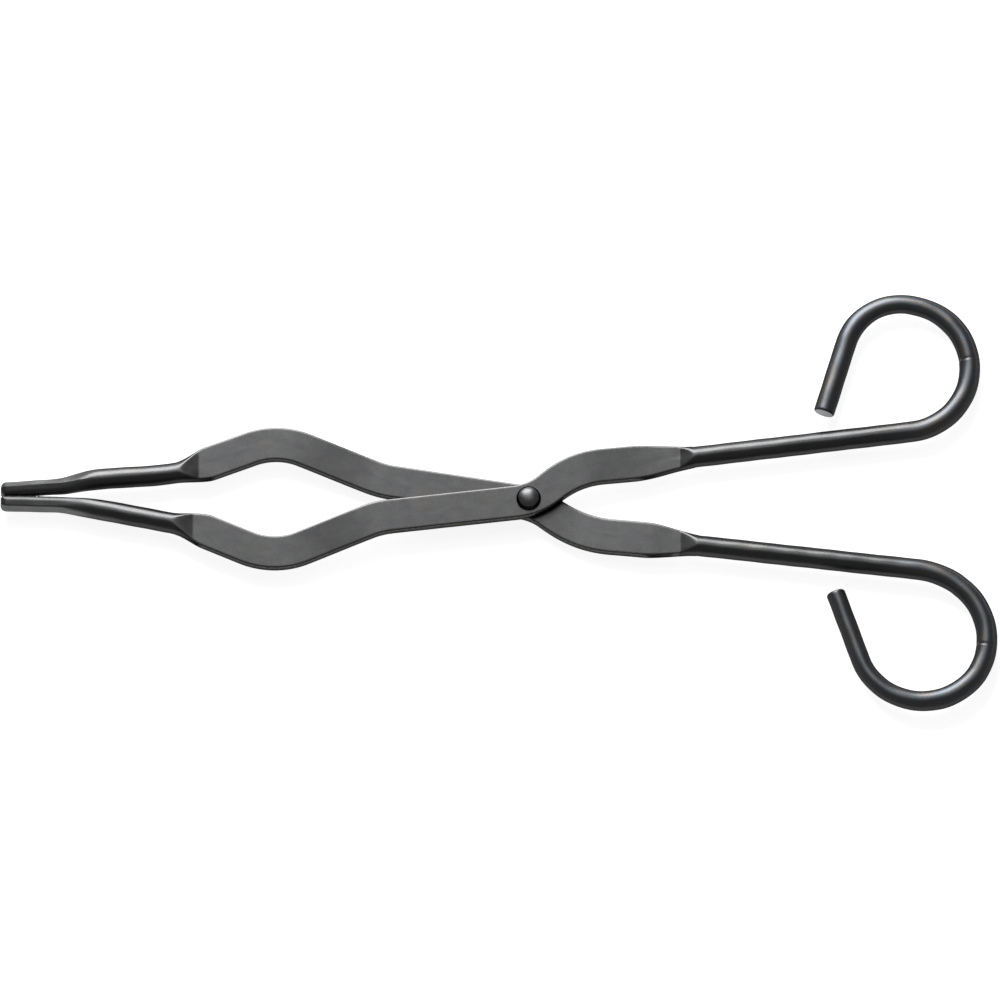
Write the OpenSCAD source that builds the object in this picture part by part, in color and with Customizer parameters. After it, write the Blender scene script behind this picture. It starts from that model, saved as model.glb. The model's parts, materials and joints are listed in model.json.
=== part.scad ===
// Crucible tongs: two bent steel bars crossed on one rivet, 250 mm long.
//
// Each arm is a single length of round bar. It stays round at the finger ring and at
// the nose. Between them it is pressed flat, where it crosses the other arm at the
// rivet and swells into the bow that takes a crucible. Both arms are bent by hand, so
// each has its own runs and slopes. The flats are cranked past each other at the
// rivet, which leaves the noses and the rings level with one another.
//
// The origin is the middle of the rivet's flat tail. The rivet stands along +Z, the
// finger rings lie towards +X and the jaws towards -X. The tongs are closed.
//
// An arm is laid out from the rivet in the XY plane. Slopes are measured from the X
// axis, away from the rivet, and a positive slope leads away from the other arm. The
// lower arm is laid out like the upper one and then mirrored.

/* [Bar] */
// Diameter of the round bar
bar_d = 5.1; // [4:0.1:6]
// Width of the pressed flats
flat_w = 8.6; // [6:0.1:10]
// Thickness of the pressed flats
flat_t = 2.8; // [2:0.1:3.5]
// Length over which the flat at the handle narrows into round bar
ramp_l = 14.5; // [8:0.5:18]
// Length at the end of a ramp over which it grows as thick as the bar
slope_l = 4.5; // [3:0.5:6]

/* [Rivet] */
// Diameter of the rivet's shank
shank_d = 3.5; // [3:0.1:4]
// Diameter of the round head
head_d = 6.2; // [5:0.1:7.5]
// Height of the round head
head_h = 2.1; // [1.2:0.1:2.8]
// Diameter of the hammered tail
tail_d = 5.8; // [4.5:0.1:7]
// Height of the hammered tail
tail_h = 1.2; // [0.8:0.1:2]
// Radial clearance of the shank in the upper arm
running_fit = 0.05; // [0.02:0.01:0.1]
// Gap between the two arms at the rivet
arm_gap = 0.1; // [0.05:0.05:0.3]
// Gap between the upper arm and the rivet's head
head_gap = 0.05; // [0.02:0.01:0.1]

/* [Crossing] */
// Bend radius where an arm passes the rivet
crossing_r = 16; // [10:0.5:25]
// Where the cranked flats level out again, jaw side
crank_jaw_end = 60; // [50:1:70]
// Where the cranked flats start to level out, jaw side
crank_jaw_start = 38; // [34:1:44]
// Where the cranked flats start to level out, handle side
crank_neck_start = 12; // [10:1:16]
// Where the cranked flats level out again, handle side
crank_neck_end = 26; // [22:1:27]

/* [Jaws] */
// Bend radii of a jaw: foot of the bow, crest of the bow, end of the flat, nose
jaw_radii = [25, 18.5, 35, 50]; // [10:0.5:60]
// Reach of the jaws beyond the rivet
jaw_reach = 132; // [125:0.5:140]
// Offset of the closing line from the rivet, towards the lower jaw
closing_offset = 1.3; // [0:0.1:2]
// Gap between the closed tips
tip_gap = 0.1; // [0.05:0.05:0.3]
// Half width of a nose at its last bend, where its outer side is pressed slimmer
nose_half_w = 1.9; // [1.8:0.1:2.5]
// Half width of a nose at its end, on the outer side
tip_half_w = 1.7; // [1.2:0.1:2.2]
// Length of the bevel on a tip's outer corner
tip_bevel = 1; // [0.2:0.1:2]
// Number of grooves across the grip of a tip
groove_count = 6; // [2:1:8]
// Distance between grooves
groove_pitch = 1.5; // [1:0.1:2.5]
// Depth of a groove
groove_depth = 0.35; // [0.1:0.05:0.6]

/* [Upper arm] */
// Slope at the rivet, in degrees
upper_crossing_slope = 18.5; // [10:0.5:25]
// Straight runs of the jaw: shank, rise, fall, nose
upper_jaw_runs = [31, 17.5, 10, 22]; // [5:0.5:40]
// Slopes of those runs, in degrees
upper_jaw_slopes = [6.5, 21.5, -23, -11]; // [-30:0.5:30]
// Slope of the tip, in degrees
upper_tip_slope = -1.5; // [-6:0.5:2]
// Slopes of the neck and of the handle, in degrees
upper_handle_slopes = [38.5, 7]; // [0:0.5:45]
// Bend radius of the neck
upper_neck_r = 24; // [15:0.5:40]
// Straight runs after the neck bend: flat neck, round handle
upper_handle_runs = [8.5, 54.8]; // [5:0.1:70]
// Bend radii of the finger ring, from the handle to its tail
upper_ring_radii = [16.8, 14.3]; // [10:0.1:22]
// Turns of the finger ring on those radii, in degrees
upper_ring_turns = [160, 86]; // [20:1:215]
// Straight tail of the finger ring
upper_tail = 19.5; // [10:0.5:24]

/* [Lower arm] */
// Slope at the rivet, in degrees
lower_crossing_slope = 15.5; // [10:0.5:25]
// Straight runs of the jaw: shank, rise, fall, nose
lower_jaw_runs = [32.5, 18.5, 11.5, 27]; // [5:0.5:40]
// Slopes of those runs, in degrees
lower_jaw_slopes = [9, 21.5, -20.5, -7]; // [-30:0.5:30]
// Slope of the tip, in degrees
lower_tip_slope = -4; // [-6:0.5:2]
// Slopes of the neck and of the handle, in degrees
lower_handle_slopes = [35.7, 6.5]; // [0:0.1:45]
// Bend radius of the neck
lower_neck_r = 30; // [15:0.5:40]
// Straight runs after the neck bend: flat neck, round handle
lower_handle_runs = [7, 55.3]; // [5:0.1:70]
// Bend radii of the finger ring, from the handle to its tail
lower_ring_radii = [21, 16.5]; // [10:0.1:22]
// Turns of the finger ring on those radii, in degrees
lower_ring_turns = [33, 211]; // [20:1:215]
// Straight tail of the finger ring
lower_tail = 18.5; // [10:0.5:24]

/* [Hidden] */
$fn = 64;

// Short straight run between the crossing bend and the neck bend
neck_gap_run = 2;
// Height of the level where the two arms meet, and of the noses and rings
mid_z = tail_h + flat_t + arm_gap / 2;
// How far each arm's flat is cranked away from that level at the rivet
crank = (flat_t + arm_gap) / 2;
// Short straight run between the two bends of a finger ring
ring_gap_run = 1;
// How far a ramp at the jaw reaches into the nose
nose_ramp_l = 2;
// Length before its last bend over which a nose is pressed slimmer
press_l = 6;
// Larger than the half length and the whole width of the tongs
wide = 140;
// Height of a flat before it is cut to its cranked thickness
tall = 8;
// How far a straight run reaches into the bend or ramp that it joins
join = 0.25;
// How much slimmer a straight run is than a bend, so that it ends inside it
hair = 0.02;

// ---- Laying out a bar: a pose is [x, y, heading] ----

// The pose after a straight run
function ahead(pose, run) =
    [pose.x + run * cos(pose.z), pose.y + run * sin(pose.z), pose.z];

// The pose after a bend, where a positive turn is to the left
function bent(pose, radius, turn) =
    let (side = sign(turn), after = pose.z + turn)
    [pose.x + side * radius * (sin(after) - sin(pose.z)),
     pose.y - side * radius * (cos(after) - cos(pose.z)),
     after];

// Steps of a bar, each a straight run and the bend after it: [run, radius, turn]
function bar_steps(runs, radii, slopes) =
    [for (i = [0 : len(runs) - 1]) [runs[i], radii[i], slopes[i + 1] - slopes[i]]];

// The poses where each step starts, and last the pose where the bar ends
function bar_poses(pose, steps, i = 0) =
    i == len(steps)
    ? [pose]
    : let (step = steps[i], next = bent(ahead(pose, step[0]), step[1], step[2]))
      concat([pose], bar_poses(next, steps, i + 1));

// Moves its children to a pose
module at(pose)
    translate([pose.x, pose.y, 0])
        rotate(pose.z)
            children();

// Sweeps a section round a bend that starts at the origin, heading along X
module sweep_bend(radius, turn)
    translate([0, sign(turn) * radius, 0])
        rotate(turn > 0 ? -90 : 90)
            rotate_extrude(angle = turn)
                translate([radius, 0])
                    children();

// ---- Round bar: a straight run reaches a little way into what it joins ----

module round_run(run)
    translate([-join, 0, 0])
        rotate([0, 90, 0])
            cylinder(d = bar_d - hair, h = run + 2 * join);

module round_step(step) {
    round_run(step[0]);
    translate([step[0], 0, 0])
        sweep_bend(step[1], step[2])
            circle(d = bar_d);
}

// ---- Flat bar, made tall enough to be cut to its cranked thickness ----

module flat_run(run)
    translate([-join, -(flat_w - hair) / 2, -tall / 2])
        cube([run + 2 * join, flat_w - hair, tall]);

module flat_bend(radius, turn)
    sweep_bend(radius, turn)
        square([flat_w, tall + hair], center = true);

module flat_step(step) {
    flat_run(step[0]);
    translate([step[0], 0, 0])
        flat_bend(step[1], step[2]);
}

// The side view of a flat, which lift raises at the rivet
module cranked_side(lift) {
    line = [
        [-wide, 0], [-crank_jaw_end, 0], [-crank_jaw_start, lift],
        [crank_neck_start, lift], [crank_neck_end, 0], [wide, 0],
    ];
    top = [for (p = line) [p.x, p.y + flat_t / 2]];
    bottom = [for (i = [len(line) - 1 : -1 : 0]) [line[i].x, line[i].y - flat_t / 2]];
    rotate([90, 0, 0])
        linear_extrude(wide, center = true)
            polygon(concat(top, bottom));
}

// Between a flat that ends at one pose and round bar that starts at another, the bar
// is a cone. The press has left it flat, except for two slopes at its round end.
module ramp(from, to) {
    reach = [to.x - from.x, to.y - from.y];
    length = norm(reach);
    flat_d = norm([flat_w, flat_t]);
    top = [
        [-flat_t, flat_t / 2], [length - slope_l, flat_t / 2], [length, bar_d / 2],
        [length + flat_t, bar_d],
    ];
    bottom = [for (i = [len(top) - 1 : -1 : 0]) [top[i].x, -top[i].y]];
    at([from.x, from.y, atan2(reach.y, reach.x)])
        intersection() {
            translate([-join, 0, 0])
                rotate([0, 90, 0])
                    cylinder(d1 = flat_d, d2 = bar_d, h = length + 2 * join);
            rotate([90, 0, 0])
                linear_extrude(2 * flat_w, center = true)
                    polygon(concat(top, bottom));
        }
}

// ---- The end of a jaw ----

// What the press leaves of a nose: its outer side tapers towards the tip
module nose_outline(length)
    translate([0, 0, -bar_d])
        linear_extrude(2 * bar_d)
            polygon([
                [-press_l, bar_d / 2], [0, nose_half_w],
                [length - tip_bevel, tip_half_w], [length, tip_half_w - tip_bevel],
                [length, -bar_d], [-press_l, -bar_d],
            ]);

// Grooves across the face on which the tips close
module grip_grooves(closing)
    for (i = [1 : groove_count])
        translate([-jaw_reach + i * groove_pitch, closing, 0])
            rotate(45)
                cube([groove_depth * sqrt(2), groove_depth * sqrt(2), 2 * bar_d], center = true);

// The round nose from the last jaw bend to the tip, closing on the line y = closing
module nose(step, start, tip, closing) {
    length = jaw_reach + tip.x;
    difference() {
        union() {
            at(start)
                round_step(step);
            at(tip)
                round_run(length + bar_d);
        }
        // beyond the closing line
        translate([-jaw_reach - bar_d, closing, -bar_d])
            cube([wide / 2, bar_d, 2 * bar_d]);
        // beyond the reach of the jaws
        translate([-jaw_reach - 2 * bar_d, -wide / 2, -bar_d])
            cube([2 * bar_d, wide, 2 * bar_d]);
        // outside the pressed outline
        at(tip)
            difference() {
                translate([-press_l, 0, -bar_d / 2 - hair])
                    cube([press_l + length + 2 * bar_d, 2 * bar_d, bar_d + 2 * hair]);
                nose_outline(length);
            }
        grip_grooves(closing);
    }
}

// ---- One arm, laid out as the upper one ----

// lift cranks the flat up or down at the rivet, and bore_d is the rivet hole
module arm(crossing_slope, jaw_runs, jaw_slopes, tip_slope, handle_slopes, neck_r,
           handle_runs, ring_radii, ring_turns, tail, lift, closing, bore_d) {
    crossing_start = bent([0, 0, crossing_slope + 180], crossing_r, jaw_slopes[0] - crossing_slope);
    crossing_end = bent([0, 0, crossing_slope], crossing_r, handle_slopes[0] - crossing_slope);
    jaw = bar_steps(jaw_runs, jaw_radii, concat(jaw_slopes, [tip_slope]));
    jaw_at = bar_poses(crossing_start, jaw);
    nose_start = ahead(jaw_at[3], nose_ramp_l);
    nose_step = [jaw[3][0] - nose_ramp_l, jaw[3][1], jaw[3][2]];
    neck = [neck_gap_run, neck_r, handle_slopes[1] - handle_slopes[0]];
    neck_end = bent(ahead(crossing_end, neck[0]), neck[1], neck[2]);
    flat_end = ahead(neck_end, handle_runs[0]);
    handle_start = ahead(flat_end, ramp_l);
    ring = [
        [handle_runs[1], ring_radii[0], ring_turns[0]],
        [ring_gap_run, ring_radii[1], ring_turns[1]],
    ];
    ring_at = bar_poses(handle_start, ring);

    difference() {
        intersection() {
            union() {
                at([crossing_start.x, crossing_start.y, jaw_slopes[0]])
                    flat_bend(crossing_r, handle_slopes[0] - jaw_slopes[0]);
                for (i = [0, 1])
                    at(jaw_at[i])
                        flat_step(jaw[i]);
                at(jaw_at[2])
                    flat_run(jaw_runs[2]);
                at(crossing_end)
                    flat_step(neck);
                at(neck_end)
                    flat_run(handle_runs[0]);
            }
            cranked_side(lift);
        }
        cylinder(d = bore_d, h = wide, center = true);
    }
    ramp(ahead(jaw_at[2], jaw_runs[2]), nose_start);
    nose(nose_step, nose_start, jaw_at[4], closing);
    ramp(flat_end, handle_start);
    for (i = [0, 1])
        at(ring_at[i])
            round_step(ring[i]);
    at(ring_at[2])
        round_run(tail - join);
}

// ---- The pieces ----

module upper_arm()
    color("#4a4b4d")
        translate([0, 0, mid_z])
            arm(upper_crossing_slope, upper_jaw_runs, upper_jaw_slopes, upper_tip_slope,
                upper_handle_slopes, upper_neck_r, upper_handle_runs, upper_ring_radii,
                upper_ring_turns, upper_tail, crank, closing_offset - tip_gap / 2,
                shank_d + 2 * running_fit);

module lower_arm()
    color("#56575a")
        translate([0, 0, mid_z])
            mirror([0, 1, 0])
                arm(lower_crossing_slope, lower_jaw_runs, lower_jaw_slopes, lower_tip_slope,
                    lower_handle_slopes, lower_neck_r, lower_handle_runs, lower_ring_radii,
                    lower_ring_turns, lower_tail, -crank, -closing_offset - tip_gap / 2,
                    shank_d);

// Round head on top, shank through both arms, and a hammered tail underneath
module rivet() {
    head_z = mid_z + arm_gap / 2 + flat_t + head_gap;
    head_r = (pow(head_d / 2, 2) + pow(head_h, 2)) / (2 * head_h);
    tail_edge = tail_h / 4;
    color("#2d2e30") {
        // tail
        cylinder(d1 = tail_d - 2 * tail_edge, d2 = tail_d, h = tail_edge);
        translate([0, 0, tail_edge])
            cylinder(d = tail_d, h = tail_h - tail_edge);
        // shank
        translate([0, 0, tail_h])
            cylinder(d = shank_d, h = head_z - tail_h);
        // head
        translate([0, 0, head_z])
            intersection() {
                translate([0, 0, head_h - head_r])
                    sphere(head_r);
                cylinder(d = head_d, h = head_h);
            }
    }
}

upper_arm();
lower_arm();
rivet();
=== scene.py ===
"""Looks for the crucible tongs: two blackened steel bars crossed on a rivet.

Metres, +Z up, in the CAD's frame: the rivet stands on the Z axis, the finger rings lie
towards +X and the jaws towards -X. Lengths written in millimetres are multiplied by MM.
"""
import json
import math

import bmesh
import bpy
import numpy as np
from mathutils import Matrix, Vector


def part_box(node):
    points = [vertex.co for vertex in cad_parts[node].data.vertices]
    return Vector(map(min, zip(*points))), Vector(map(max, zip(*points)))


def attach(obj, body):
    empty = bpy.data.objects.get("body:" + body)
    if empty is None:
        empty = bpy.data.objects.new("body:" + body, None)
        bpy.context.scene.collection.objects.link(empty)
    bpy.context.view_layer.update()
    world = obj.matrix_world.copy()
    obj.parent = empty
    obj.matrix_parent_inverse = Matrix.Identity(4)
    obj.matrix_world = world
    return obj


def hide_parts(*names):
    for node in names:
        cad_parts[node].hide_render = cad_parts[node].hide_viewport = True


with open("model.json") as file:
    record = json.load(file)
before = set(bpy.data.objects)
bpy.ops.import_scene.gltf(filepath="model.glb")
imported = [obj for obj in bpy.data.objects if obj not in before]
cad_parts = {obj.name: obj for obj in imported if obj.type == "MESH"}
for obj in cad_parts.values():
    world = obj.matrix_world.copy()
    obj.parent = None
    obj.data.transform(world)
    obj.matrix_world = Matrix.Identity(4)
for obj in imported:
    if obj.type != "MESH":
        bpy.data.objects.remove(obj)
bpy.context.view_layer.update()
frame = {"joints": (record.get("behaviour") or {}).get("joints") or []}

MM = 0.001
MID_Z = frame["joints"][0]["pos_m"][2] / MM

# ---- Sizes of a bar, in millimetres ----

BAR_R = 2.62
JAW_HALF_W = 4.3
NECK_HALF_W = 4.5
NECK_WIDENS = (0, 16)      # X over which a flat grows from the jaw's width to the neck's
SPREAD_SPARE = 0.15        # how much wider than its trimmed side a flat spreads
FLAT_HALF_T = 1.4
RAMP_L = 14.5
ARM_GAP = 0.1
CRANK = FLAT_HALF_T + ARM_GAP / 2
CRANK_JAW = (-60, -38)     # X over which a flat rises to its crank, jaw side
CRANK_NECK = (9, 33)       # X over which it falls again, handle side
CROSSING_R = 16
NECK_GAP_RUN = 2           # straight bar between the two bends of a neck
RING_GAP_RUN = 1           # straight bar between the two bends of a ring
JAW_RADII = [25, 18.5, 35, 50]
JAW_REACH = 132
CLOSING_OFFSET = 1.3       # how far from the rivet's plane the noses close
TIP_GAP = 0.1

# The two arms as the CAD bends them: slopes in degrees, runs and radii in millimetres
ARMS = {
    "upper_arm": dict(
        side=1, crossing=18.5,
        jaw_runs=[31, 17.5, 10, 22], jaw_slopes=[6.5, 21.5, -23, -11, -1.5],
        neck_r=24, handle_slopes=[38.5, 7], handle_runs=[8.5, 54.8],
        ring_radii=[16.8, 14.3], ring_turns=[160, 86], tail=19.5,
    ),
    "lower_arm": dict(
        side=-1, crossing=15.5,
        jaw_runs=[32.5, 18.5, 11.5, 27], jaw_slopes=[9, 21.5, -20.5, -7, -4],
        neck_r=30, handle_slopes=[35.7, 6.5], handle_runs=[7, 55.3],
        ring_radii=[21, 16.5], ring_turns=[33, 211], tail=18.5,
    ),
}

# Where each arm is pressed, as ranges of X: a spread is where the bar grows as wide as a
# flat, and a ramp is where it is pressed down to one. A sway lists (X, shift to the
# inside). Round the ring, in degrees of heading, a thin spot is (heading, span, share of
# the radius) and a flat spot is (heading, span, depth).
# Each arm's band of painted highlight, just before its handle ramp, is (start X, end X,
# strength).
PRESSED = {
    "upper_arm": dict(
        tip_half_w=2.0, tip_lean=62, tip_lean_r=1.8, twist=8, nose_press=(-119, -109),
        nose_lean=(-118, -108), jaw_spread=(-89.5, -79.5), jaw_ramp=(-91.4, -83.8),
        neck_spread=(25, 44), neck_ramp=(37.8, 42.6), crease_highlight=(31, 37.8, 0.1),
        sway=[], thin=(185, 50, 0.1), flattened=(300, 40, 0.15),
    ),
    "lower_arm": dict(
        tip_half_w=1.5, tip_lean=33, tip_lean_r=1.62, twist=12, nose_press=(-120, -106),
        nose_lean=(-116, -105), jaw_spread=(-88.5, -79), jaw_ramp=(-89.3, -82.4),
        neck_spread=(28, 44), neck_ramp=(37.9, 43.6), crease_highlight=(35.4, 37.9, 0.5),
        sway=[(-117, 0), (-109, -0.45), (-91, 0.3), (-82, 0)], thin=(250, 90, 0.09),
        flattened=(80, 45, 0.45),
    ),
}

# ---- Sizes of the details, in millimetres ----

AROUND = 144             # points round a section
STEP = 0.3               # distance between sections
EDGE_CROWDING = 0.55     # share of a flat's points that move from its faces to its edges
EDGE_SHARPNESS = 36      # higher is a crisper edge between two pressed faces
RAMP_CLEAR = 1.25        # where a ramp's press starts, in bar radii
NOSE_CLEAR = 1.2         # where a nose's press starts, in bar radii
CLEAR = BAR_R * 2        # a press this far out leaves the bar alone
FLAT_CROWN = 0.9         # how much taller a spread section is before it is pressed
TRIM_CLEAR = 4           # how far out the trimming starts where the bar is still round
LEAST_UP = 0.2           # keeps a section's reach finite close to its own plane
NO_FACE = 0.01           # stands for a face that a direction never meets

TIP_HALF_H = 2.1
TIP_ROUND = 1.4          # round of the tip's outer corner
TIP_WORN = 0.7           # how far the very end of a nose is worn down
TIP_NOTCH = 0.7          # how far the grip face falls back at the very end
TIP_ZONE = (-114, -108)
TIP_PARTS = -123         # X at which the closed noses start to part
TIP_STEP = 0.1           # how far they part at once
TIP_STEP_X = (TIP_PARTS - 1, TIP_PARTS + 2)
TIP_PARTING = 0.04       # how fast each nose leaves the closing line after that
TIP_PARTING_L = 14
TIP_CORE = 0.6           # least distance from a nose's middle to its grip face
GROOVE_COUNT = 6
GROOVE_PITCH = 1.5
GROOVE_DEPTH = 0.3
NOSE_SLIMMING = 0.13     # share by which the press rounds off a nose
NOSE_EDGE = 12           # sharpness of the edges where a nose blends into its pressed tip
NOSE_EDGE_FROM = (-120, -113)
NOSE_EDGE_TO = (-104, -97)
NOSE_ENDS = 2            # how far before the flat spreads a nose's press stops

NICK_HEADING = 97        # where the bending tool nicked a ring, as the bar's heading
NICK_SIDE = 60           # the nick's middle round the section, from the inside of the ring
NICK_SPAN = (0.15, 0.6)  # cosines between which the nick deepens round the section
NICK_WIDTH = 0.4
NICK_DEPTH = 0.12
TAIL_BEVEL = 0.35
BEVEL_SLOPE = 0.8
FINE_WAVE_H = 0.018      # height of the short waves that forging leaves
BROAD_WAVE_H = 0.014     # height of the long ones
FLAT_CALM = 0.85         # share by which a flat is smoother than round bar

EDGE_WEAR = 1.6          # wear along an edge, where 1 is bare metal
TIP_WEAR = 0.1           # the same at a tip
NICK_WEAR = 2            # the same in a nick
WORN_SIDE = (-0.2, 0.1)  # sines round the section: undersides keep their oxide
HALF_GIRTH = 8           # how far the grain counts from one side of a bar round to the other
TEMPER_RUN = (45, 60)    # distances past the ramp over which the temper colours begin
LEVEL_UNSHADED = (0.64, 0.84)    # how level a face has to be, as its normal's Z, to be spared the painted flank shade
SHARP_EDGE = 50          # degrees between two faces that meet in a hard edge

# The rivet
HEAD_H = 2.1
HEAD_FULLNESS = 2.15     # 2 is an ellipse; higher is a flatter head with a rounder rim
HEAD_UNDERCUT = 0.12
SHANK_R = 1.75
TAIL_R = 2.9
TAIL_H = 1.2
TAIL_DISH = 0.03         # how far the hammered face falls away towards its rim
TAIL_ROUND = 0.3
TAIL_CHAMFER = (0.12, 0.15)
HAMMER_DENT = 0.02
RIVET_AROUND = 72        # points round the rivet
RIVET_SHARP_EDGE = 40    # degrees, as SHARP_EDGE


# ---- The course of a bar in plan ----

def course(pose, steps):
    """Points and headings every STEP along runs and bends: steps are (run, radius, turn)."""
    x, y, heading = pose
    rows = [(x, y, heading)]
    for run, radius, turn in steps:
        count = max(1, round(run / STEP))
        for i in range(1, count + 1):
            far = run * i / count
            rows.append((x + far * math.cos(heading), y + far * math.sin(heading), heading))
        x, y, heading = rows[-1]
        if not turn:
            continue
        turn = math.radians(turn)
        side = math.copysign(1, turn)
        count = max(2, round(radius * abs(turn) / STEP))
        for i in range(1, count + 1):
            now = heading + turn * i / count
            rows.append((
                x + side * radius * (math.sin(now) - math.sin(heading)),
                y - side * radius * (math.cos(now) - math.cos(heading)),
                now,
            ))
        x, y, heading = rows[-1]
    return np.array(rows)


def length_along(rows):
    """Distance along a course to each of its rows."""
    hops = np.hypot(np.diff(rows[:, 0]), np.diff(rows[:, 1]))
    return np.concatenate([[0], np.cumsum(hops)])


def jaw_course(arm):
    """From the rivet out to the tip."""
    slopes = arm["jaw_slopes"]
    turns = [after - before for before, after in zip(slopes, slopes[1:])]
    steps = [(0, CROSSING_R, slopes[0] - arm["crossing"])]
    steps += list(zip(arm["jaw_runs"], JAW_RADII, turns))
    jaw = course((0, 0, math.radians(arm["crossing"]) + math.pi), steps)
    tip_run = (jaw[-1, 0] + JAW_REACH) / -math.cos(jaw[-1, 2])
    return np.vstack([jaw, course(jaw[-1], [(tip_run, 0, 0)])[1:]])


def handle_course(arm):
    """From the rivet out to the tail, and the length of its stretch of flat bar."""
    first, last = arm["handle_slopes"]
    neck_run, handle_run = arm["handle_runs"]
    neck = course((0, 0, math.radians(arm["crossing"])), [
        (0, CROSSING_R, first - arm["crossing"]),
        (NECK_GAP_RUN, arm["neck_r"], last - first),
        (neck_run, 0, 0),
    ])
    ring = course(neck[-1], [
        (RAMP_L + handle_run, arm["ring_radii"][0], arm["ring_turns"][0]),
        (RING_GAP_RUN, arm["ring_radii"][1], arm["ring_turns"][1]),
        (arm["tail"], 0, 0),
    ])
    return np.vstack([neck, ring[1:]]), length_along(neck)[-1]


def lay_out(arm):
    """Rows from tip to tail, distances from the rivet, headings in degrees, and landmarks."""
    jaw = jaw_course(arm)
    handle, neck_l = handle_course(arm)
    far = np.concatenate([-length_along(jaw)[::-1], length_along(handle)[1:]])
    jaw[:, 2] += math.pi
    rows = np.vstack([jaw[::-1], handle[1:]])
    turned = np.degrees(np.where(far < 0, 0, rows[:, 2]))
    round_from = neck_l + RAMP_L
    marks = {
        "round": round_from,
        "nick": far[np.argmax((far > round_from) & (turned >= NICK_HEADING))],
        "tail": far[-1],
    }
    return rows, far, turned, marks


# ---- The section of a bar ----

def smooth(value, start, end):
    """0 before start, 1 after end, with an eased rise between."""
    t = np.clip((value - start) / (end - start), 0, 1)
    return t * t * (3 - 2 * t)


def crease(value, start, end):
    """0 before start, rising from it at once and easing off to 1 at end."""
    return np.sin(np.clip((value - start) / (end - start), 0, 1) * math.pi / 2)


def sway(x, stops):
    """How far the bar strays to the side at each X, eased between stops of (X, shift)."""
    shift = np.zeros_like(x)
    for (start, low), (end, high) in zip(stops, stops[1:]):
        inside = (x >= start) & (x < end)
        shift[inside] = low + (high - low) * smooth(x[inside], start, end)
    return shift


def spot(turned, heading, span):
    """1 where a ring has this heading, falling to 0 a span away."""
    return np.clip(1 - ((turned - heading) / span) ** 2, 0, 1)


def section_sizes(x, arm):
    """Half width, half height, trimmed side and share of flatness of the bar at each X."""
    flat = smooth(x, *arm["jaw_spread"]) * (1 - smooth(x, *arm["neck_spread"]))
    side = JAW_HALF_W + (NECK_HALF_W - JAW_HALF_W) * smooth(x, *NECK_WIDENS)
    slimmed = 1 - NOSE_SLIMMING * (1 - smooth(x, *arm["nose_press"]))
    half_w = BAR_R * slimmed + (side + SPREAD_SPARE - BAR_R) * flat
    half_h = BAR_R * slimmed + FLAT_CROWN * flat
    return half_w, half_h, side + (1 - flat) * TRIM_CLEAR, flat


def pressed_half_h(x, arm):
    """Half the height that the press leaves at each X, past the round bar's own outside."""
    clear = BAR_R * RAMP_CLEAR
    round_x, flat_x = arm["jaw_ramp"]
    flat_end, round_end = arm["neck_ramp"]
    spare = (clear - BAR_R) / (BAR_R - FLAT_HALF_T)
    jaw_rise = crease(-x, -flat_x, -round_x + spare * (flat_x - round_x))
    neck_rise = crease(x, flat_end, round_end + spare * (round_end - flat_end))
    return FLAT_HALF_T + (clear - FLAT_HALF_T) * (jaw_rise + neck_rise)


def grip_face(x, y, corner, side):
    """How far a nose reaches inwards, to the line on which the two noses close."""
    closing = side * CLOSING_OFFSET - TIP_GAP / 2
    parted = TIP_STEP * smooth(x, *TIP_STEP_X)
    parted += TIP_PARTING * np.clip(x - TIP_PARTS, 0, TIP_PARTING_L)
    notch = TIP_NOTCH * (corner / TIP_ROUND) ** 2
    for i in range(1, GROOVE_COUNT + 1):
        at = -JAW_REACH + i * GROOVE_PITCH
        notch = np.maximum(notch, GROOVE_DEPTH - abs(x - at))
    return np.clip(closing - y - parted, 0, CLEAR) - notch


def nose_clips(rows, far, arm, side):
    """How far a nose reaches outwards, along its lean, up, and inwards once it is pressed."""
    x = rows[:, 0]
    clear = BAR_R * NOSE_CLEAR
    pressed = (1 - smooth(x, *arm["nose_press"])) * (far < 0)
    leaned = (1 - smooth(x, *arm["nose_lean"])) * (far < 0)
    outer = clear + (arm["tip_half_w"] - clear) * pressed
    lean = clear + (arm["tip_lean_r"] - clear) * leaned
    top = clear + (TIP_HALF_H - clear) * leaned

    corner = np.clip(TIP_ROUND - (x + JAW_REACH), 0, TIP_ROUND)
    outer -= TIP_ROUND - np.sqrt(TIP_ROUND ** 2 - corner ** 2)
    worn_down = TIP_WORN * (corner / TIP_ROUND) ** 2
    lean -= worn_down
    top -= worn_down
    inner = grip_face(x, rows[:, 1], corner, side)

    behind = x > arm["jaw_spread"][0] - NOSE_ENDS
    for clip in (outer, lean, top, inner):
        clip[behind] = CLEAR
    return outer, lean, top, np.maximum(inner, TIP_CORE)


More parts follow.
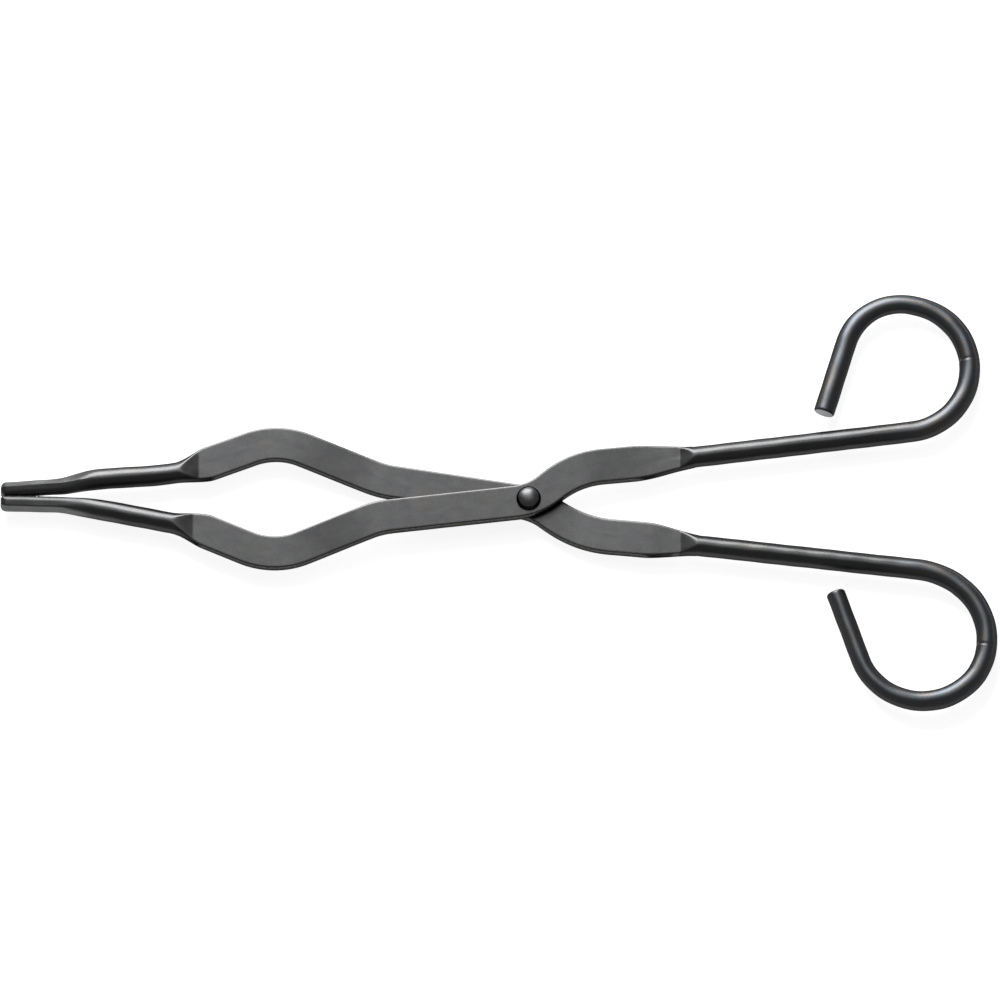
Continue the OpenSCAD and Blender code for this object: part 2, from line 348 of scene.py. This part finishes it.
def bar_faces(rows, far, turned, marks, arm, side, angle):
    """The inverse of how far each point's direction may reach before each face of the bar."""
    across, up = np.cos(angle), np.sin(angle)
    half_w, half_h, trimmed, _ = section_sizes(rows[:, 0], arm)
    heading, span, share = arm["thin"]
    drawn = 1 - share * spot(turned, heading, span)
    half_w[far > marks["round"]] = BAR_R
    outer, lean, top, inner = nose_clips(rows, far, arm, side)

    # the die closed square to X, whatever way the bar runs
    reach = FLAT_HALF_T * across / np.maximum(abs(up), LEAST_UP)
    reach = np.clip(reach, -trimmed[:, None], trimmed[:, None])
    press = pressed_half_h(rows[:, :1] - reach * np.sin(rows[:, 2:]), arm)
    tilt = math.radians(arm["tip_lean"])
    twist = math.radians(arm["twist"]) * side
    leaning = abs(across) * math.sin(tilt) + abs(up) * math.cos(tilt)
    return np.array([
        np.hypot(across / half_w[:, None], up / half_h[:, None]) / drawn[:, None],
        abs(up) / press,
        abs(across) / np.where(across > 0, inner[:, None], outer[:, None]),
        abs(across) / trimmed[:, None],
        np.where(across < 0, leaning, NO_FACE) / lean[:, None],
        abs(up * math.cos(twist) - across * math.sin(twist)) / top[:, None],
    ])


def forging_waves(far, angle):
    """Hand-forged unevenness: short waves that wander round the bar over long ones."""
    fine = FINE_WAVE_H * np.sin(far * 0.83 + 2.1 * np.sin(angle + 0.6))
    return fine + BROAD_WAVE_H * np.sin(far * 0.31 + 1.3 + 3 * angle)


def place(rows, radius, angle, lift, side):
    """Points in millimetres from each section's row, its radii and its lift off the bench."""
    across, up = radius * np.cos(angle), radius * np.sin(angle)
    co = np.empty((*radius.shape, 3))
    co[..., 0] = rows[:, :1] - across * np.sin(rows[:, 2:])
    co[..., 1] = (rows[:, 1:2] + across * np.cos(rows[:, 2:])) * side
    co[..., 2] = MID_Z + side * CRANK * lift[:, None] + up
    return co


def strayed(rows, turned, pressed):
    """The rows with the bar's sway, and with the flat spot that its ring has."""
    rows = rows.copy()
    rows[:, 1] += sway(rows[:, 0], pressed["sway"])
    heading, span, depth = pressed["flattened"]
    inwards = depth * spot(turned, heading, span)
    rows[:, 0] -= inwards * np.sin(rows[:, 2])
    rows[:, 1] += inwards * np.cos(rows[:, 2])
    return rows


def sweep_arm(arm, pressed):
    """Vertices and attributes of one arm, a closed skin round its course."""
    side = arm["side"]
    rows, far, turned, marks = lay_out(arm)
    rows = strayed(rows, turned, pressed)
    flat = section_sizes(rows[:, 0], pressed)[3][:, None]
    past_ramp = far > marks["round"]

    # the angle runs faster past the broad faces of a flat, so its edges get enough points
    turn = np.linspace(0, 2 * math.pi, AROUND, endpoint=False)
    angle = np.arctan2(np.sin(turn)[None] * (1 - EDGE_CROWDING * flat), np.cos(turn)[None])
    blend = smooth(rows[:, :1], *NOSE_EDGE_FROM) * (1 - smooth(rows[:, :1], *NOSE_EDGE_TO))
    sharpness = EDGE_SHARPNESS + (NOSE_EDGE - EDGE_SHARPNESS) * blend
    powers = bar_faces(rows, far, turned, marks, pressed, side, angle) ** sharpness
    radius = powers.sum(axis=0) ** (-1 / sharpness)
    edge = 1 - ((powers / powers.sum(axis=0)) ** 2).sum(axis=0)

    # a nick across the ring, a bevel at the cut tail, and hand-forged unevenness
    nick = np.clip(1 - abs(far - marks["nick"]) / NICK_WIDTH, 0, 1)[:, None]
    nick = nick * smooth(np.cos(angle - math.radians(NICK_SIDE)), *NICK_SPAN)
    bevel = np.clip(TAIL_BEVEL - (marks["tail"] - far), 0, TAIL_BEVEL)[:, None] * BEVEL_SLOPE
    waves = forging_waves(far[:, None], angle)
    radius += waves * (1 - FLAT_CALM * flat) - bevel - nick * NICK_DEPTH

    lift = smooth(rows[:, 0], *CRANK_JAW) * (1 - smooth(rows[:, 0], *CRANK_NECK))
    lift[past_ramp] = 0
    co = place(rows, radius, angle, lift, side)

    # a painted highlight: a lighter band across the flat just before its handle ramp, where the
    # crease catches the light; it takes the worn steel colour
    start, end, strength = pressed["crease_highlight"]
    fading = 1 - smooth(co[..., 0], end - 0.5, end)
    crease_highlight = strength * smooth(co[..., 0], start, start + 1) * fading
    crease_highlight[past_ramp] = 0
    # the tips: rougher, with less edge wear, and spared the painted flank shade
    at_tip = 1 - smooth(co[..., 0], *TIP_ZONE)
    edge_wear = EDGE_WEAR + (TIP_WEAR - EDGE_WEAR) * at_tip
    wear_and_highlight = np.maximum(edge * smooth(np.sin(angle), *WORN_SIDE) * edge_wear, nick * NICK_WEAR)
    girth = angle / math.pi * HALF_GIRTH
    temper_from, temper_to = (marks["round"] + run for run in TEMPER_RUN)
    everywhere = np.ones_like(at_tip)
    # the wear attribute holds the real edge and nick wear and also the painted crease highlight
    return co * MM, dict(
        grain=np.stack(np.broadcast_arrays(far[:, None], girth, edge), axis=-1),
        wear_and_highlight=np.clip(np.maximum(wear_and_highlight, crease_highlight), 0, 1),
        tip=at_tip,
        scale=flat * everywhere,
        ring=smooth(far, temper_from, temper_to)[:, None] * everywhere,
    )


def set_attribute(mesh, name, values):
    """Writes one number or one vector for each vertex."""
    vector = values.ndim > 1 and values.shape[-1] == 3
    mesh.attributes.new(name, "FLOAT_VECTOR" if vector else "FLOAT", "POINT")
    key = "vector" if vector else "value"
    mesh.attributes[name].data.foreach_set(key, values.astype(np.float32).ravel())


def set_flank_shade_mask(mesh, floor=None):
    """How level each face is, from its normal's Z: the shader paints shade on the flanks that
    lean sideways.
    """
    normals = np.empty(len(mesh.vertices) * 3, dtype=np.float32)
    mesh.vertices.foreach_get("normal", normals)
    level_unshaded = smooth(abs(normals[2::3]), *LEVEL_UNSHADED)
    set_attribute(mesh, "level_unshaded", level_unshaded if floor is None else np.maximum(level_unshaded, floor))


def skin(name, co, attributes, flip):
    """A closed mesh from a grid of sections; its last cap takes the second material."""
    count, around = co.shape[:2]
    index = np.arange(count * around).reshape(count, around)
    nxt = np.roll(index, -1, axis=1)
    quads = np.stack([index[:-1], index[1:], nxt[1:], nxt[:-1]], axis=-1).reshape(-1, 4)
    faces = [tuple(q) for q in quads.tolist()]
    faces.append(tuple(index[0].tolist()))
    faces.append(tuple(index[-1][::-1].tolist()))
    if flip:
        faces = [face[::-1] for face in faces]
    mesh = bpy.data.meshes.new(name)
    mesh.from_pydata(co.reshape(-1, 3).tolist(), [], faces)
    for key, values in attributes.items():
        set_attribute(mesh, key, values)
    # the tips count as level, so they are spared the painted flank shade
    set_flank_shade_mask(mesh, attributes["tip"].ravel())
    mesh.polygons.foreach_set("use_smooth", [True] * len(mesh.polygons))
    mesh.set_sharp_from_angle(angle=math.radians(SHARP_EDGE))
    mesh.polygons[len(faces) - 1].material_index = 1
    mesh.validate()
    piece = bpy.data.objects.new(name, mesh)
    bpy.context.scene.collection.objects.link(piece)
    return piece


def build_arm(node, steel, cut):
    """One forged arm, blackened all over but for its sawn tail."""
    co, attributes = sweep_arm(ARMS[node], PRESSED[node])
    piece = skin(node + "_forged", co, attributes, flip=ARMS[node]["side"] > 0)
    piece.data.materials.append(steel)
    piece.data.materials.append(cut)
    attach(piece, node)
    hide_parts(node)


# ---- The rivet ----

def rivet_outline(head_r, top):
    """Radii and heights from the middle of the tail to the crown of the head."""
    chamfer_w, chamfer_h = TAIL_CHAMFER
    outline = [(0.0, 0.0)]
    outline += [(TAIL_R * t, TAIL_DISH * t ** 4) for t in np.linspace(0.15, 0.85, 8)]
    outline += [
        (TAIL_R - TAIL_ROUND + TAIL_ROUND * math.sin(a), TAIL_ROUND - TAIL_ROUND * math.cos(a))
        for a in np.linspace(0.2, math.pi / 2, 6)
    ]
    outline += [(TAIL_R, TAIL_H - chamfer_h), (TAIL_R - chamfer_w, TAIL_H), (SHANK_R, TAIL_H)]
    outline += [(SHANK_R, top - HEAD_H), (head_r - HEAD_UNDERCUT, top - HEAD_H)]
    power = 2 / HEAD_FULLNESS
    outline += [
        (head_r * math.sin(a) ** power, top - HEAD_H + HEAD_H * math.cos(a) ** power)
        for a in np.linspace(math.pi / 2 * 0.99, 0, 24)
    ]
    return outline


def turned_mesh(name, outline):
    """An outline turned about the Z axis, with the small dents of a hammered surface."""
    turn = np.linspace(0, 2 * math.pi, RIVET_AROUND, endpoint=False)
    mesh = bmesh.new()
    rings = []
    for r, z in outline:
        if r < 1e-6:
            rings.append([mesh.verts.new((0, 0, z * MM))])
            continue
        dent = HAMMER_DENT * np.sin(3 * turn + z) * np.sin(2 * turn + 1) * min(r / 2, 1)
        rings.append([
            mesh.verts.new(((r + d) * math.cos(a) * MM, (r + d) * math.sin(a) * MM, z * MM))
            for a, d in zip(turn, dent - HAMMER_DENT)
        ])
    for lower, upper in zip(rings, rings[1:]):
        for i in range(RIVET_AROUND):
            j = (i + 1) % RIVET_AROUND
            if len(lower) == 1:
                mesh.faces.new((lower[0], upper[j], upper[i]))
            elif len(upper) == 1:
                mesh.faces.new((lower[i], lower[j], upper[0]))
            else:
                mesh.faces.new((lower[i], lower[j], upper[j], upper[i]))
    data = bpy.data.meshes.new(name)
    mesh.to_mesh(data)
    mesh.free()
    data.polygons.foreach_set("use_smooth", [True] * len(data.polygons))
    data.set_sharp_from_angle(angle=math.radians(RIVET_SHARP_EDGE))
    return data


def build_rivet():
    """Round head, shank and hammered tail, turned from one outline."""
    low, high = (np.array(v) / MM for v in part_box("rivet"))
    outline = rivet_outline(head_r=(high[0] - low[0]) / 2, top=high[2])
    data = turned_mesh("rivet_set", outline)
    set_attribute(data, "grain", np.array([v.co for v in data.vertices]) / MM)
    # a scale of 1 gives the rivet's sideways faces the near-black painted flank shade of a flat's
    # sides
    set_attribute(data, "scale", np.ones(len(data.vertices)))
    set_flank_shade_mask(data)
    piece = bpy.data.objects.new("rivet_set", data)
    bpy.context.scene.collection.objects.link(piece)
    piece.data.materials.append(blackened_steel("blackened_rivet", **RIVET_STEEL))
    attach(piece, "lower_arm")
    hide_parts("rivet")


# ---- Materials ----

BAR_STEEL = dict(value=0.135, roughness=0.3)
RIVET_STEEL = dict(value=0.2, roughness=0.37)


class Nodes:
    """A short way to add and wire shader nodes."""

    def __init__(self, material):
        material.use_nodes = True
        self.tree = material.node_tree
        self.shader = self.tree.nodes["Principled BSDF"]

    def add(self, kind, links=None, **settings):
        node = self.tree.nodes.new(kind)
        for key, value in settings.items():
            setattr(node, key, value)
        for socket, value in (links or {}).items():
            if isinstance(value, bpy.types.NodeSocket):
                self.tree.links.new(value, node.inputs[socket])
            else:
                node.inputs[socket].default_value = value
        return node

    def attribute(self, name, output):
        return self.add("ShaderNodeAttribute", attribute_name=name).outputs[output]

    def noise(self, vector, scale, detail=3.0, roughness=0.55):
        links = {"Vector": vector, "Scale": scale, "Detail": detail, "Roughness": roughness}
        return self.add("ShaderNodeTexNoise", links).outputs["Fac"]

    def stretched(self, vector, scale):
        return self.add("ShaderNodeMapping", {"Vector": vector, "Scale": scale}).outputs["Vector"]

    def span(self, value, low, high, to_low, to_high):
        links = {0: value, 1: low, 2: high, 3: to_low, 4: to_high}
        return self.add("ShaderNodeMapRange", links).outputs["Result"]

    def maths(self, operation, first, second):
        return self.add("ShaderNodeMath", {0: first, 1: second}, operation=operation).outputs[0]

    def blend(self, factor, first, second):
        node = self.add("ShaderNodeMix", data_type="RGBA")
        self.tree.links.new(factor, node.inputs[0])
        for socket, value in ((6, first), (7, second)):
            if isinstance(value, bpy.types.NodeSocket):
                self.tree.links.new(value, node.inputs[socket])
            else:
                node.inputs[socket].default_value = (*value, 1)
        return node.outputs[2]

    def bump(self, height, strength, distance, normal=None):
        links = {"Height": height, "Strength": strength, "Distance": distance}
        if normal is not None:
            links["Normal"] = normal
        return self.add("ShaderNodeBump", links).outputs["Normal"]

    def metal(self, color, roughness, normal):
        """Wires the shader as bare or blackened metal."""
        self.tree.links.new(color, self.shader.inputs["Base Color"])
        self.tree.links.new(roughness, self.shader.inputs["Roughness"])
        self.tree.links.new(normal, self.shader.inputs["Normal"])
        self.shader.inputs["Metallic"].default_value = 1


def tinted(value, tint):
    return tuple(value * part for part in tint)


def oxide_color(nodes, grain, mottle, value):
    """Smooth oxide, lighter and darker in patches, with a fine speckle and brown tinges."""
    dark = tinted(value, (0.88, 0.89, 0.91))
    light = tinted(value, (1.09, 1.1, 1.11))
    pinprick = tinted(value, (0.6, 0.6, 0.62))
    brown = tinted(value, (1.3, 1.12, 0.95))
    speckle = nodes.noise(nodes.stretched(grain, (1.6, 2.4, 0.0)), 1.0, 3.0, 0.65)
    tinge = nodes.noise(nodes.stretched(grain, (0.09, 0.12, 0.0)), 1.0, 2.0)
    oxide = nodes.blend(nodes.span(mottle, 0.3, 0.7, 0, 1), dark, light)
    oxide = nodes.blend(nodes.span(speckle, 0.35, 0.65, 0.3, 0), oxide, pinprick)
    return nodes.blend(nodes.span(tinge, 0.58, 0.75, 0, 0.4), oxide, brown)


def tempered(nodes, grain, oxide, value):
    """Temper colours, blue and straw, where a ring was bent hot."""
    ring = nodes.attribute("ring", "Fac")
    temper = nodes.noise(nodes.stretched(grain, (0.12, 0.9, 0.0)), 1.0, 2.0)
    blue = nodes.maths("MULTIPLY", ring, nodes.span(temper, 0.45, 0.6, 0, 0.45))
    straw = nodes.maths("MULTIPLY", ring, nodes.span(temper, 0.45, 0.36, 0, 0.4))
    oxide = nodes.blend(ring, oxide, tinted(value, (1.2, 1.21, 1.23)))
    oxide = nodes.blend(blue, oxide, tinted(value, (1.0, 1.25, 1.6)))
    return nodes.blend(straw, oxide, tinted(value, (1.6, 1.25, 0.95)))


def blackened_steel(name, value, roughness):
    """Black oxide on drawn steel: fine grain along the bar, mottling, worn edges, painted shade
    on the flanks and a painted highlight band on the flats.
    """
    material = bpy.data.materials.new(name)
    nodes = Nodes(material)
    grain = nodes.attribute("grain", "Vector")
    wear_and_highlight = nodes.attribute("wear_and_highlight", "Fac")
    level_unshaded = nodes.attribute("level_unshaded", "Fac")
    scale = nodes.attribute("scale", "Fac")
    streaks = nodes.noise(nodes.stretched(grain, (0.35, 5.0, 0.0)), 1.0, 4.0)
    mottle = nodes.noise(nodes.stretched(grain, (0.22, 0.35, 0.0)), 1.0, 3.0)
    pits = nodes.noise(nodes.stretched(grain, (3.2, 3.2, 0.0)), 1.0, 2.0, 0.6)

    # level faces show the oxide, flanks get a painted shade, and worn edges and the painted
    # crease highlight show the steel
    oxide = oxide_color(nodes, grain, mottle, value)
    oxide = tempered(nodes, grain, oxide, value)
    # painted shade: the flank colours, darker on round bar and near black on a flat's sides;
    # scale is the share of flatness
    thin = tinted(value, (0.4, 0.4, 0.41))
    flat_flank_shade = tinted(value, (0.03, 0.03, 0.03))
    oxide_with_flank_shade = nodes.blend(level_unshaded, nodes.blend(scale, thin, flat_flank_shade), oxide)
    worn_and_highlit = nodes.maths("MULTIPLY", wear_and_highlight, nodes.span(pits, 0.35, 0.62, 0.25, 1))
    color = nodes.blend(worn_and_highlit, oxide_with_flank_shade, (0.16, 0.16, 0.156))

    flank_roughening = nodes.span(level_unshaded, 0, 1, 0.1, 0)
    rough = nodes.span(streaks, 0.3, 0.7, roughness - 0.03, roughness + 0.03)
    for more in (
        nodes.span(mottle, 0.3, 0.7, -0.01, 0.015),
        nodes.maths("MULTIPLY", flank_roughening, nodes.span(scale, 0, 1, 1, 0)),
        nodes.span(nodes.attribute("ring", "Fac"), 0, 1, 0, 0.07),
        nodes.span(nodes.attribute("tip", "Fac"), 0, 1, 0, 0.1),
    ):
        rough = nodes.maths("ADD", rough, more)

    normal = nodes.bump(streaks, 0.12, 0.02 * MM)
    normal = nodes.bump(pits, 0.2, 0.03 * MM, normal)
    nodes.metal(color, rough, normal)
    nodes.shader.inputs["Specular Tint"].default_value = (0.4, 0.4, 0.4, 1)
    return material


def sawn_steel(name):
    """Bare steel across a cut end, with the saw's fine lines."""
    material = bpy.data.materials.new(name)
    nodes = Nodes(material)
    place = nodes.add("ShaderNodeTexCoord").outputs["Object"]
    lines = nodes.noise(nodes.stretched(place, (300, 300, 4000)), 1.0, 3.0)
    dark, light = (0.1, 0.1, 0.105), (0.32, 0.32, 0.33)
    color = nodes.blend(nodes.span(lines, 0.35, 0.65, 0, 1), dark, light)
    rough = nodes.span(lines, 0.3, 0.7, 0.38, 0.5)
    nodes.metal(color, rough, nodes.bump(lines, 0.2, 0.02 * MM))
    return material


def lit_floor(name, value, glow):
    """A white bench that glows a little, as a light table does, so shadows stay faint."""
    material = bpy.data.materials.new(name)
    shader = Nodes(material).shader
    shader.inputs["Base Color"].default_value = (value, value, value, 1)
    shader.inputs["Roughness"].default_value = 0.9
    shader.inputs["Emission Color"].default_value = (1, 1, 1, 1)
    shader.inputs["Emission Strength"].default_value = glow
    return material


# ---- The stage: floor, lights and camera ----

AIM = (-7.15, 0.5, 4.05)   # what the camera looks at, in millimetres
FIELD_W = 250              # width of the picture at the tongs, in millimetres
VIEW_ELEVATION = 72        # degrees above the bench
LENS = 1250                # long, so the view is close to parallel
SENSOR_W = 36
CLIP_END = 20              # metres
FLOOR = dict(value=0.8, glow=0.85)
FLOOR_W = 6                # metres
ROOM_LIGHT = 0.1


def build_floor():
    """A floor far wider than the picture."""
    bpy.ops.mesh.primitive_plane_add(size=FLOOR_W, location=(0, 0, 0))
    floor = bpy.context.object
    floor.name = "floor"
    floor.data.materials.append(lit_floor("floor_white", **FLOOR))


def add_softbox(name, aim, azimuth, tilt, distance, size, watts):
    """An oval light tilt degrees from overhead, at an azimuth from +Y towards +X."""
    light = bpy.data.lights.new(name, "AREA")
    light.shape = "ELLIPSE"
    light.size, light.size_y = size
    light.energy = watts
    lamp = bpy.data.objects.new(name, light)
    bpy.context.scene.collection.objects.link(lamp)
    turn, lean = math.radians(azimuth), math.radians(tilt)
    flat = Vector((math.sin(turn), math.cos(turn), 0))
    way = flat * math.sin(lean) + Vector((0, 0, math.cos(lean)))
    lamp.location = aim + way * distance
    lamp.rotation_euler = way.to_track_quat("Z", "Y").to_euler()
    lamp.visible_camera = False


def build_lights(aim):
    """One key light behind the tongs, a wide one overhead, and a dim room."""
    add_softbox("key", aim, azimuth=-11, tilt=54, distance=0.6, size=(0.5, 0.52), watts=3.6)
    add_softbox("overhead", aim, azimuth=0, tilt=18, distance=1.0, size=(0.66, 0.5), watts=0.67)
    world = bpy.data.worlds.new("room")
    bpy.context.scene.world = world
    world.use_nodes = True
    background = world.node_tree.nodes["Background"]
    background.inputs["Color"].default_value = (1, 1, 1, 1)
    background.inputs["Strength"].default_value = ROOM_LIGHT


def build_camera(aim, width):
    """A long lens, steeply above the bench, framing the whole length of the tongs."""
    camera = bpy.data.cameras.new("camera")
    camera.lens = LENS
    camera.sensor_width = SENSOR_W
    camera.clip_end = CLIP_END
    item = bpy.data.objects.new("camera", camera)
    bpy.context.scene.collection.objects.link(item)
    elevation = math.radians(VIEW_ELEVATION)
    distance = width * LENS / SENSOR_W
    way = Vector((0, -math.cos(elevation), math.sin(elevation)))
    item.location = aim + way * distance
    item.rotation_euler = way.to_track_quat("Z", "Y").to_euler()
    bpy.context.scene.camera = item


def main():
    aim = Vector(AIM) * MM
    steel = blackened_steel("blackened_bar", **BAR_STEEL)
    cut = sawn_steel("sawn_steel")
    for name in ARMS:
        build_arm(name, steel, cut)
    build_rivet()
    build_floor()
    build_lights(aim)
    build_camera(aim, FIELD_W * MM)
    bpy.context.scene.view_settings.view_transform = "Standard"


main()
